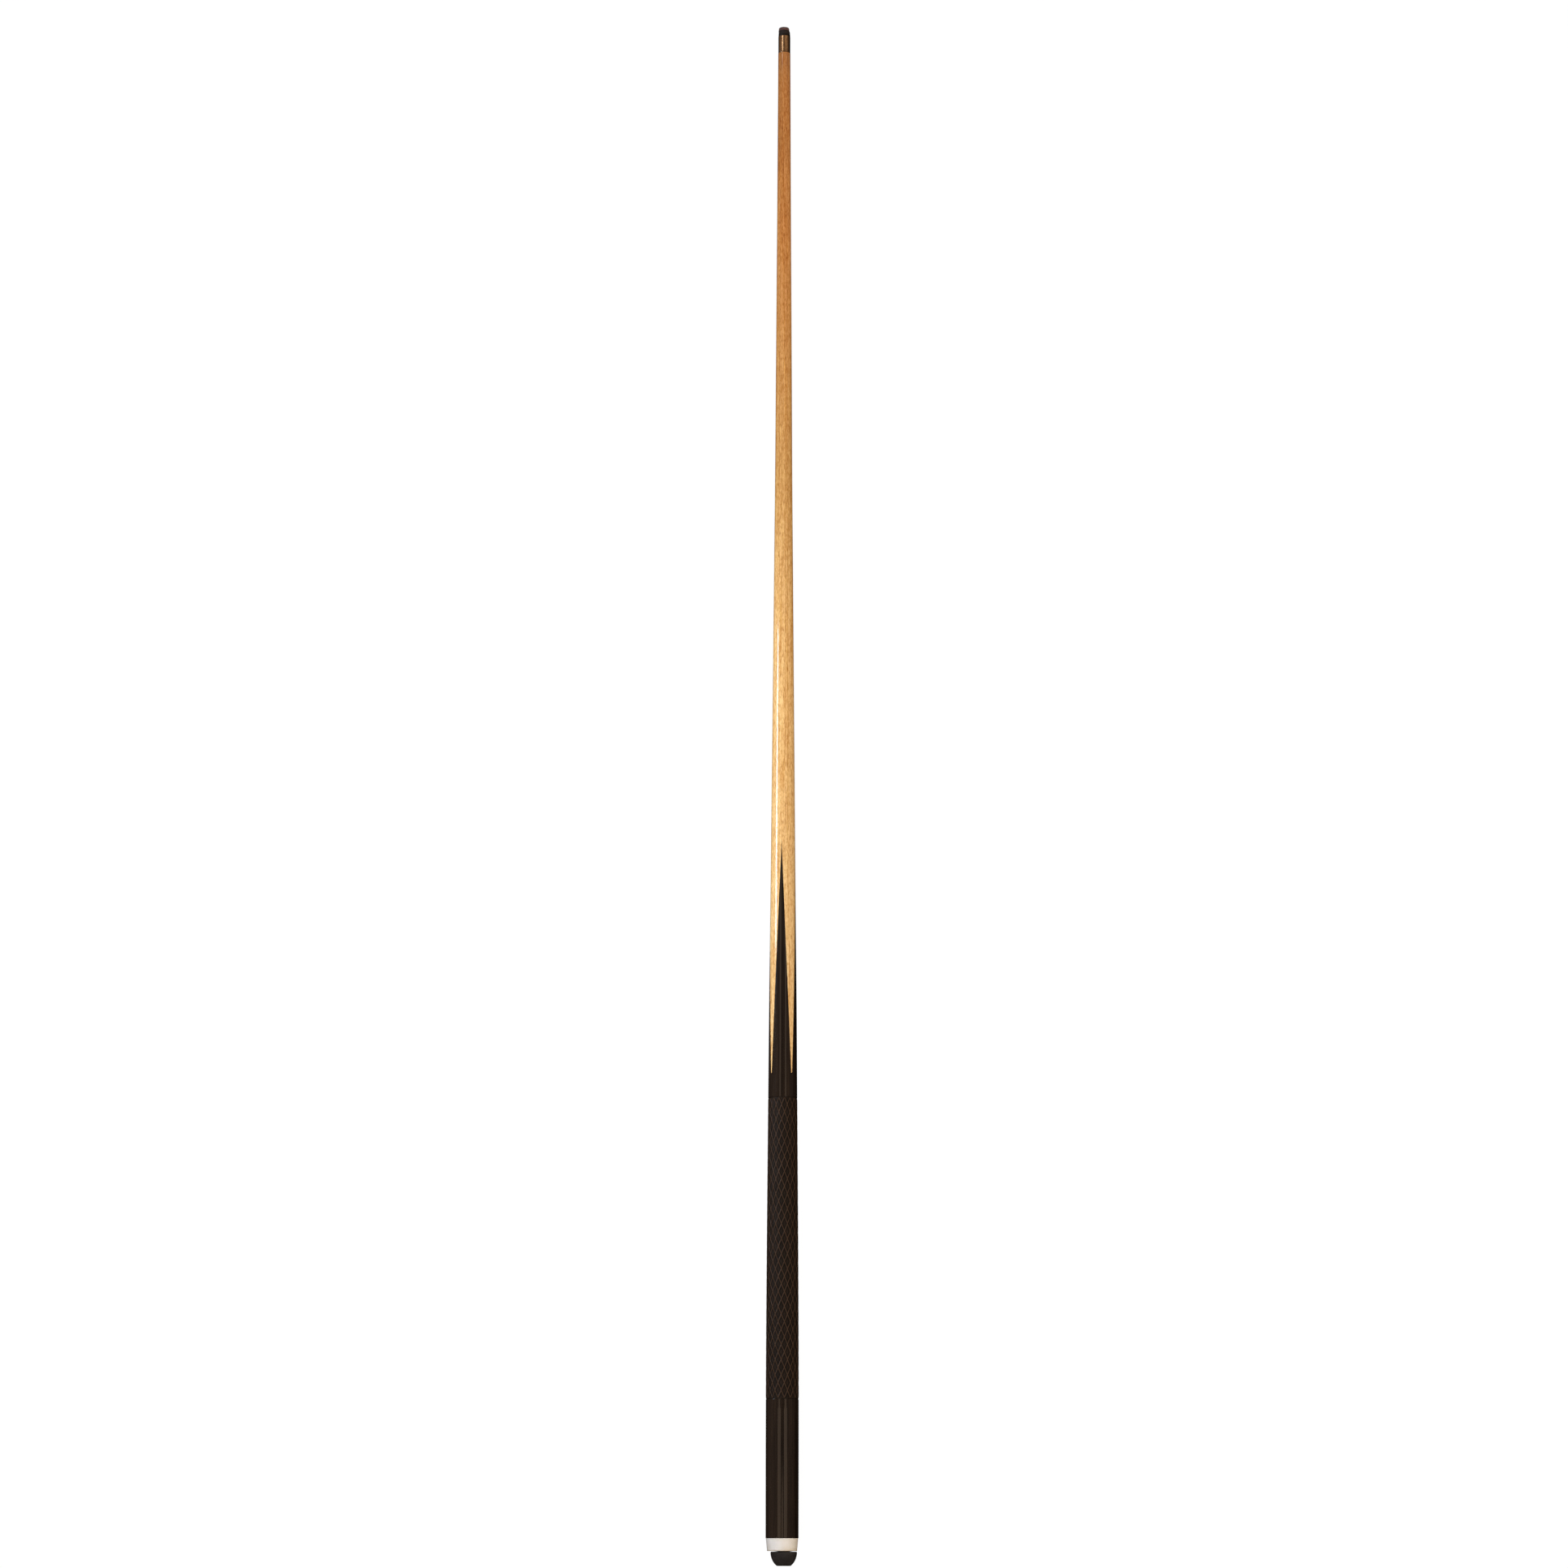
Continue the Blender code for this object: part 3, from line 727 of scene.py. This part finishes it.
def wrap_sheet(start, end):
    """The embossed sheet, made of diamond cells whose sides are the ridges."""
    steps = np.array(RIDGE_STEPS)
    cell_p, cell_q = (c.ravel() for c in np.meshgrid(steps, steps, indexing="ij"))
    side = len(steps)
    corner = np.arange(side * side).reshape(side, side)
    cell = np.stack([corner[:-1, :-1], corner[1:, :-1], corner[1:, 1:], corner[:-1, 1:]], -1)
    cell = cell.reshape(-1, 4)
    first = math.floor(2 * (start - CROSSING_X) / DIAMOND_LENGTH) - 1
    last = math.ceil(2 * (end - CROSSING_X) / DIAMOND_LENGTH)
    points, faces = [], []
    for row in range(first, last + 1):
        for k in range(DIAMONDS_AROUND):
            p, q = cell_p + row + k, cell_q + k
            w = (p - q) / 2
            if w.max() * DIAMOND_LENGTH + CROSSING_X < start:
                continue
            if w.min() * DIAMOND_LENGTH + CROSSING_X > end:
                continue
            faces.append(cell + len(points) * side * side)
            points.append(np.stack([p, q], -1))
    p, q = np.concatenate(points).T
    x = CROSSING_X + (p - q) / 2 * DIAMOND_LENGTH
    turn = CROSSING_TURN + (p + q) / 2 * FULL_TURN / DIAMONDS_AROUND
    x = np.clip(x, start, end)
    taper = np.vectorize(cue_radius)(x)
    room = np.minimum(x - start, end - x)
    lift = wrap_lift(p, q) * np.clip(room / HEM, 0, 1)
    seam = np.abs((turn + 2 * FULL_TURN) % FULL_TURN - math.pi) * taper
    lift -= SEAM_DEPTH * np.exp(-((seam / SEAM_WIDTH) ** 2))
    # the rounding makes columns that meet after a full turn share their points
    return np.round(polar(x, taper - SHEET_DEPTH + lift, turn), 8), np.concatenate(faces)


def wrap_sleeve(start, end):
    """The sleeve under the sheet, whose ends show as plain hems."""
    hem, rim, under, inside = -0.24 * MM, -0.28 * MM, -0.35 * MM, -0.7 * MM
    land = 1.0 * MM
    sleeve = soften(
        [
            (start - 0.1 * MM, cue_radius(start) + rim, 0.25 * MM),
            (start + land, cue_radius(start) + hem, 0.25 * MM),
            (start + HEM, cue_radius(start) + under),
        ]
        + along(start + HEM, end - HEM, 30 * MM, under)[1:-1]
        + [
            (end - HEM, cue_radius(end) + under),
            (end - land, cue_radius(end) + hem, 0.25 * MM),
            (end + 0.1 * MM, cue_radius(end) + rim, 0.25 * MM),
            (end + 0.1 * MM, cue_radius(end) + inside),
        ]
        + along(end, start, 30 * MM, inside)[1:-1]
        + [(start - 0.1 * MM, cue_radius(start) + inside)]
    )
    return loft(turned(sleeve), closed=True)


def make_wrap():
    """The grip wrap: embossed sheet with crossing ridges, on a sleeve with plain hems."""
    start, end = WRAP_START + 0.35 * MM, WRAP_END - 0.35 * MM
    shells = [wrap_sheet(start, end), wrap_sleeve(start, end)]
    obj = make_mesh("wrap_leatherette", shells, sharp=math.radians(60))
    # how high each point stands, from 0 in the grooves to 1 on the ridges, for the finish's
    # painted highlight and shade and its roughness
    co = np.empty(len(obj.data.vertices) * 3)
    obj.data.vertices.foreach_get("co", co)
    co = co.reshape(-1, 3)
    height = np.hypot(co[:, 1], co[:, 2]) - np.vectorize(cue_radius)(co[:, 0]) + 0.3 * MM
    lifts = obj.data.attributes.new("lift", "FLOAT", "POINT")
    lifts.data.foreach_set("value", np.clip(height / (0.37 * MM), 0, 1).astype(np.float32))
    return obj


def make_cap():
    """The ivory cap: fine turned lines near both rims, a rounded rear edge and a stem hole."""
    line, cut = 0.22 * MM, 0.14 * MM
    slope = (CAP_RADIUS - CAP_REAR_RADIUS) / (CAP_END - CAP_START)
    bore = BUTT_TENON_RADIUS + 0.1 * MM

    def skin(x):
        return CAP_REAR_RADIUS + slope * (x - CAP_START)

    outline = [(CAP_END, bore), (CAP_END, CAP_RADIUS, 0.35 * MM)]
    for middle in CAP_LINES:
        outline += [
            (middle + line, skin(middle + line), 0.08 * MM),
            (middle + line / 2, skin(middle) - cut),
            (middle - line / 2, skin(middle) - cut),
            (middle - line, skin(middle - line), 0.08 * MM),
        ]
    outline += [(CAP_START, CAP_REAR_RADIUS, 1.3 * MM)]
    outside = turned(soften(outline, 6))
    floor_x = CAP_START + CAP_WALL
    hole = [(CAP_START, STEM_HOLE_RADIUS), (floor_x, STEM_HOLE_RADIUS)]
    hole = turned(hole, side=BUMPER_SIDE)
    floor = turned([(floor_x, bore)])
    rings = np.concatenate([outside, hole, floor])
    return make_mesh("cap_ivory", [loft(rings, closed=True)])


def make_bumper():
    """The rubber bumper: blunt dome, a shallow dish in its flat end, and a barbed stem."""
    flat = math.asin(DOME_TOP / DOME_HEIGHT)
    angles = np.linspace(0, flat, 22)
    outline = [(STEM_END, 0.0), (STEM_END, STEM_RADIUS)]
    for k in range(BARB_COUNT):
        top = STEM_END - 1.5 * MM - k * BARB_PITCH
        outline += [
            (top, STEM_CORE_RADIUS, 0.3 * MM),
            (top - 2 * MM, BARB_RADIUS, 0.2 * MM),
            (top - 2.8 * MM, BARB_RADIUS, 0.2 * MM),
            (top - 3 * MM, STEM_CORE_RADIUS, 0.2 * MM),
        ]
    # the collar closes the gap under the cap, through which the floor would show
    collar = CAP_START - 0.04 * MM
    outline += [(collar, STEM_CORE_RADIUS), (collar, DOME_RADIUS - 0.4 * MM)]
    outline += [
        (DOME_TOP - DOME_HEIGHT * math.sin(a), DOME_RADIUS * math.cos(a)) for a in angles[1:-1]
    ]
    edge = DOME_RADIUS * math.cos(flat)
    outline += [(0.0, edge, 0.5 * MM), (0.0, edge - 1.4 * MM, 0.3 * MM)]
    outline += [(0.5 * MM, edge - 2.2 * MM, 0.4 * MM), (0.6 * MM, 0.0)]
    return make_mesh("bumper_rubber", [loft(turned(soften(outline), side=BUMPER_SIDE))])


def make_bolt():
    """The weight bolt: a full-length 1/2-13 thread with chamfered ends and a hex socket."""
    end = BORE_END - 0.3 * MM
    start = end - BOLT_LENGTH
    chamfer = 0.6 * MM
    body = threaded(
        start + chamfer, end - chamfer, BOLT_PITCH, BOLT_MAJOR, BOLT_MINOR, run_out=1.2 * MM
    )
    turn = thread_turns()
    tip = [polar(end, BOLT_END_RADIUS, turn), polar(end, 0.0, turn)]
    sector = FULL_TURN / 6
    hexagon = HEX_HALF / np.cos((turn + sector / 2) % sector - sector / 2)
    head = [
        polar(start + 8 * MM, 0.0, turn),
        polar(start + 7 * MM, hexagon, turn),
        polar(start + 0.3 * MM, hexagon, turn),
        polar(start, hexagon + 0.3 * MM, turn),
        polar(start, BOLT_END_RADIUS, turn),
    ]
    return make_mesh("bolt_steel", [loft(np.concatenate([head, body, tip]))])


def make_ferrule():
    """The brass ferrule: skirt, softened rims, a fine turned line and an M6 thread inside."""
    bore = TENON_RADIUS + 0.05 * MM
    outline = soften(
        [
            (FERRULE_WALL, bore),
            (FERRULE_START, bore),
            (FERRULE_START, FERRULE_RADIUS, 0.12 * MM),
            (FERRULE_START + 1.5 * MM, FERRULE_RADIUS),
            (FERRULE_START + 1.62 * MM, FERRULE_RADIUS - 0.09 * MM),
            (FERRULE_START + 1.74 * MM, FERRULE_RADIUS),
            (FERRULE_END, FERRULE_RADIUS, 0.25 * MM),
            (FERRULE_END, 3.5 * MM),
        ]
    )
    outline = np.array(outline)
    outside = polar(outline[:, :1], outline[:, 1:], thread_turns())
    rim = 0.3 * MM
    inside = threaded(FERRULE_WALL, FERRULE_END - rim, SCREW_PITCH, NUT_CREST, NUT_ROOT, rim)
    rings = np.concatenate([outside, inside[::-1]])
    return make_mesh("ferrule_brass", [loft(rings, closed=True)])


def make_screw():
    """The tip's brass screw: a clamping head and an M6x1 thread."""
    turn = thread_turns()
    head = soften(
        [
            (HEAD_END, 0.0),
            (HEAD_END, HEAD_RADIUS, 0.2 * MM),
            (HEAD_START, HEAD_RADIUS, 0.2 * MM),
            (HEAD_START, 2.4 * MM),
        ]
    )
    head = np.array(head)
    thread_start = SCREW_START + 0.4 * MM
    thread = threaded(
        thread_start, HEAD_START, SCREW_PITCH, SCREW_RADIUS, SCREW_ROOT, run_out=0.6 * MM
    )
    end = [polar(SCREW_START, 2.1 * MM, turn), polar(SCREW_START, 0.0, turn)]
    rings = [polar(head[:, :1], head[:, 1:], turn), thread[::-1], end]
    return make_mesh("tip_screw_brass", [loft(np.concatenate(rings))])


def make_pad():
    """The fibre pad: a ring that narrows forwards, with a pocket for the screw's head."""
    pocket = PAD_END - 1.5 * MM
    outline = soften(
        [
            (PAD_START, SCREW_HOLE_RADIUS),
            (PAD_START, 5.45 * MM, 0.1 * MM),
            (PAD_START + 0.4 * MM, 5.6 * MM, 0.3 * MM),
            (PAD_END - 1.6 * MM, 5.46 * MM, 0.8 * MM),
            (PAD_END, 5.32 * MM, 0.12 * MM),
            (PAD_END, HEAD_RADIUS + 0.3 * MM),
            (pocket, HEAD_RADIUS + 0.3 * MM),
            (pocket, SCREW_HOLE_RADIUS),
        ]
    )
    return make_mesh("tip_pad_fibre", [loft(turned(outline, 64), closed=True)])


def make_leather():
    """The leather tip: sides that narrow forwards, a rounded rim and a worn, domed crown."""
    base = PAD_END + 0.1 * MM
    rim = 4.2 * MM
    dome = [(CUE_LENGTH - r**2 / (2 * CROWN_RADIUS), r) for r in spaced(rim, 0.0, 0.5 * MM)]
    outline = soften(
        [
            (base, 0.0),
            (base, 5.2 * MM, 0.1 * MM),
            (base + 0.5 * MM, 5.24 * MM, 0.3 * MM),
            (dome[0][0] - 0.1 * MM, 4.92 * MM, 1.2 * MM),
            dome[0],
        ],
        8,
    )
    outline += dome[1:]
    obj = make_mesh("tip_leather_dome", [loft(turned(outline, 72))], math.radians(60))
    # dents: a sum of sine waves in random directions
    rng = np.random.default_rng(7)
    waves = rng.normal(size=(DENT_WAVES, 3)) * DENTS_PER_METRE
    phases = rng.uniform(0, FULL_TURN, DENT_WAVES)
    for vert in obj.data.vertices:
        x, y, z = vert.co
        if x > base + 0.3 * MM:
            dent = abs(sum(math.sin(w @ (x, y, z) + f) for w, f in zip(waves, phases)))
            dent /= DENT_WAVES
            vert.co.y *= 1 - DENT_SHARE * dent
            vert.co.z *= 1 - DENT_SHARE * dent
            vert.co.x -= DENT_DEPTH * dent
        vert.co.y += LEATHER_SIDE
    return obj


def make_pieces():
    """All ten pieces, each on its body and in place of its CAD node."""
    brass = brass_finish("ferrule_brass", rgb(194, 164, 128), rgb(118, 94, 68), 0.7)
    screw_brass = brass_finish("screw_brass", rgb(222, 188, 120), rgb(160, 124, 72), 0.5)
    add_piece(make_shaft(), maple_finish(), "cue", "shaft")
    add_piece(make_butt(), black_finish(), "cue", "butt")
    add_piece(make_wrap(), wrap_finish(), "cue", "grip_wrap")
    add_piece(make_cap(), ivory_finish(), "cue", "butt_cap")
    add_piece(make_ferrule(), brass, "cue", "ferrule")
    add_piece(make_bumper(), rubber_finish(), "bumper", "bumper")
    add_piece(make_bolt(), steel_finish(), "weight_bolt", "weight_bolt")
    add_piece(make_screw(), screw_brass, "tip_base", "tip_screw")
    add_piece(make_pad(), fibre_finish(), "tip_base", "tip_pad")
    add_piece(make_leather(), leather_finish(), "tip_face", "tip_leather")


# ---- Stage -------------------------------------------------------------------------------------


def make_floor():
    """A pale floor that touches the cue under its handle and under its tip."""
    (x0, r0), (x1, r1) = REST_BACK, REST_FRONT
    slope = (r0 - r1) / (x1 - x0)
    square = [(x * FLOOR_HALF, y * FLOOR_HALF) for x, y in ((-1, -1), (1, -1), (1, 1), (-1, 1))]
    corners = [(x, y, -r0 + slope * (x - x0)) for x, y in square]
    mesh = bpy.data.meshes.new("floor")
    mesh.from_pydata(corners, [], [(0, 1, 2, 3)])
    floor = bpy.data.objects.new("floor", mesh)
    bpy.context.scene.collection.objects.link(floor)
    pale = {
        "Base Color": grey(0.1),
        "Roughness": 1.0,
        "Specular IOR Level": 0.0,
        "Emission Color": grey(1.0),
        "Emission Strength": 0.94,
    }
    floor.data.materials.append(Surface("pale_floor", pale).material)
    floor.visible_diffuse = False
    floor.visible_glossy = False


def add_light(name, x, angle, size, radiance, color=WHITE, shines=False, distance=FAR):
    """A rectangular light beside the cue, facing its axis.

    angle is from straight up towards the cue's left side (+Y), in degrees. A light that shines
    is only reflected, and one that doesn't only lights.
    """
    light = bpy.data.lights.new(name, "AREA")
    light.shape = "RECTANGLE"
    light.size, light.size_y = size
    light.energy = radiance * math.pi * size[0] * size[1]
    light.color = color
    obj = bpy.data.objects.new(name, light)
    a = math.radians(angle)
    back = Vector((0.0, math.sin(a), math.cos(a)))
    across = Vector((1.0, 0.0, 0.0))
    place = Vector((x, 0.0, 0.0)) + back * distance
    rows = zip(across, back.cross(across), back, place)
    obj.matrix_world = Matrix([*rows, (0, 0, 0, 1)])
    obj.visible_diffuse = not shines
    obj.visible_glossy = shines
    obj.visible_camera = False
    bpy.context.scene.collection.objects.link(obj)


def make_lights():
    """Soft light from above and both sides, and strips that the lacquer and brass mirror."""
    add_light("overhead", 0.7, 5, (3.4, 2.0), 1.55)
    add_light("left", 0.6, 60, (3.2, 1.6), 0.4)
    add_light("right", 0.4, -60, (2.5, 1.2), 2.0, WARM)
    add_light("left_key", 0.7, 75, (0.5, 0.8), 3.9, COOL, distance=NEAR)
    add_light("shaft_strip", 1.14, 66, (0.46, 0.46), 19.0, (0.85, 0.95, 1.1), shines=True)
    add_light("ferrule_strip", 2.46, 35, (0.45, 0.4), 7.0, (1.0, 0.92, 0.86), shines=True)
    add_light("ferrule_fill", 2.46, -32, (0.45, 2.0), 0.6, TAN, shines=True)
    for name, angle in (("left", 21), ("right", -23)):
        add_light(name + "_strip", 0.7, angle, (2.4, 0.4), 0.75, TAN, shines=True)
        add_light(name + "_rear_strip", -0.03, angle, (0.7, 0.75), 0.85, TAN, shines=True)
    add_light("rear_strip", -0.11, -1, (0.44, 0.4), 0.75, TAN, shines=True)


def make_world():
    """What the lacquer mirrors: a warm dim room, lighter on the left, above a dark floor."""
    world = bpy.data.worlds.new("studio")
    world.use_nodes = True
    s = Nodes(world.node_tree)
    place = s.node("ShaderNodeTexCoord").outputs["Generated"]
    _, side, height = s.node("ShaderNodeSeparateXYZ", [place]).outputs
    level = s.remap(height, -1.0, 1.0)
    left = s.ramp(
        level,
        (0.0, grey(0.0)),
        (0.2, grey(0.07)),
        (0.38, grey(0.2)),
        (0.65, grey(0.31)),
        (0.88, grey(0.27)),
        (1.0, grey(0.12)),
    )
    right = s.ramp(
        level,
        (0.0, grey(0.0)),
        (0.35, grey(0.02)),
        (0.5, grey(0.1)),
        (0.65, grey(0.2)),
        (0.88, grey(0.22)),
        (1.0, grey(0.12)),
    )
    room = s.mix(s.remap(side, -0.15, 0.15), right, left)
    room = s.mix(1.0, room, (*ROOM_TINT, 1.0), "MULTIPLY")
    ray = s.node("ShaderNodeLightPath").outputs
    color = s.mix(ray["Is Diffuse Ray"], room, grey(0.2))
    color = s.mix(ray["Is Camera Ray"], color, grey(0.97))
    s.tree.links.new(color, s.tree.nodes["Background"].inputs["Color"])
    bpy.context.scene.world = world


def make_camera():
    """A camera high above the butt's end, leaning forwards so that the tip is at the top."""
    camera = bpy.data.cameras.new("camera")
    camera.lens = CAMERA_LENS
    camera.sensor_width = SENSOR
    camera.clip_start, camera.clip_end = CLIP_START, CLIP_END
    obj = bpy.data.objects.new("camera", camera)
    forward = Vector((math.sin(CAMERA_PITCH), 0.0, -math.cos(CAMERA_PITCH)))
    up = Vector((math.cos(CAMERA_PITCH), 0.0, math.sin(CAMERA_PITCH)))
    right = forward.cross(up)
    turn = Matrix.Rotation(CAMERA_ROLL, 3, forward)
    right, up = turn @ right, turn @ up
    place = Vector((0.0, CAMERA_SIDE, CAMERA_HEIGHT))
    rows = zip(right, up, -forward, place)
    obj.matrix_world = Matrix([*rows, (0, 0, 0, 1)])
    bpy.context.scene.collection.objects.link(obj)
    bpy.context.scene.camera = obj


make_pieces()
make_floor()
make_lights()
make_world()
make_camera()
bpy.context.scene.view_settings.view_transform = "Standard"
